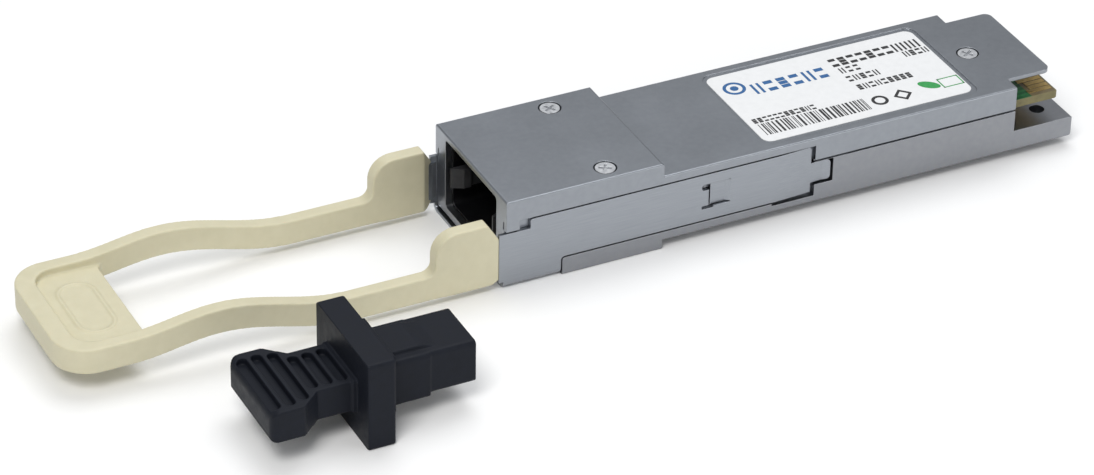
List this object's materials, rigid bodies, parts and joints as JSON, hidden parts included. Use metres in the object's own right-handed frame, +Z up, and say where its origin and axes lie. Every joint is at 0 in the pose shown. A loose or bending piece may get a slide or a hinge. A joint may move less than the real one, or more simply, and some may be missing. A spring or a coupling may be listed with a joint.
{
  "type": "optical transceiver module",
  "caption": "Pluggable optical transceiver module with a multi-fibre port, latch slider with a soft pull tab, and a rubber dust plug",
  "frame": {"origin": "on the centre plane, at the nose's front face, level with the nose's underside", "axes": "+X along the module from the port towards the card edge, +Z up through the label, +Y to the module's left seen from the port's side looking along +X"},
  "size_m": [0.1243, 0.0399, 0.0111],
  "materials": {
    "case_metal": "satin nickel-plated die casting",
    "slider_steel": "satin plated sheet",
    "screw_steel": "bright",
    "label_film": "matte printed film",
    "gasket": "conductive elastomer",
    "tab_plastic": "soft-touch moulding",
    "port_plastic": "moulded, fine grain",
    "ferrule_plastic": "glass-filled moulding",
    "ribbon_plastic": "coated ribbon",
    "lens_plastic": "clear amber moulding",
    "chip_body": "moulded epoxy",
    "ferrite": "matte",
    "ceramic": "matte ceramic",
    "board_green": "solder mask over laminate",
    "gold": "gold flash",
    "thermal_rubber": "soft gap filler",
    "plug_rubber": "matte moulded rubber"
  },
  "bodies": {
    "case": {"top_cover": "case_metal", "bottom_housing": "case_metal", "cover_screws": "screw_steel", "label": "label_film", "seam_gasket": "gasket", "return_spring_left": "screw_steel", "return_spring_right": "screw_steel", "mpo_receptacle": "port_plastic", "mt_ferrule": "ferrule_plastic", "guide_pins": "screw_steel", "ferrule_boot": "plug_rubber", "ferrule_clamp": "slider_steel", "fibre_ribbon": "ribbon_plastic", "lens_block": "lens_plastic", "laser_array": "chip_body", "photodiode_array": "chip_body", "laser_driver_chip": "chip_body", "receiver_chip": "chip_body", "controller_chip": "chip_body", "memory_chip": "chip_body", "power_inductors": "ferrite", "chip_capacitors": "ceramic", "circuit_board": "board_green", "contact_pads_top": "gold", "contact_pads_bottom": "gold", "thermal_pad": "thermal_rubber"},
    "latch": {"latch_slider": "slider_steel", "pull_tab": "tab_plastic"},
    "hook_left": {"mpo_hook_left": "port_plastic"},
    "hook_right": {"mpo_hook_right": "port_plastic"},
    "plug": {"dust_plug": "plug_rubber"}
  },
  "joints": [
    {"name": "latch_slide", "type": "slide", "parent": "case", "child": "latch", "axis": [-1, 0, 0], "range_m": [0, 0.0012], "stiffness_N_per_m": 300, "springref_m": -0.001, "deforming": ["return_spring_left", "return_spring_right"]},
    {"name": "hook_left_flex", "type": "hinge", "parent": "case", "child": "hook_left", "pos_m": [0.01005, 0.00525, 0.00607], "axis": [0, 0, -1], "range_deg": [0, 2.4], "stiffness_Nm_per_rad": 0.02},
    {"name": "hook_right_flex", "type": "hinge", "parent": "case", "child": "hook_right", "pos_m": [0.01005, -0.00525, 0.00607], "axis": [0, 0, 1], "range_deg": [0, 2.4], "stiffness_Nm_per_rad": 0.02},
    {"name": "plug_lift", "type": "slide", "parent": "case", "child": "plug", "axis": [0, 0, 1], "range_m": [0, 0.025]}
  ]
}
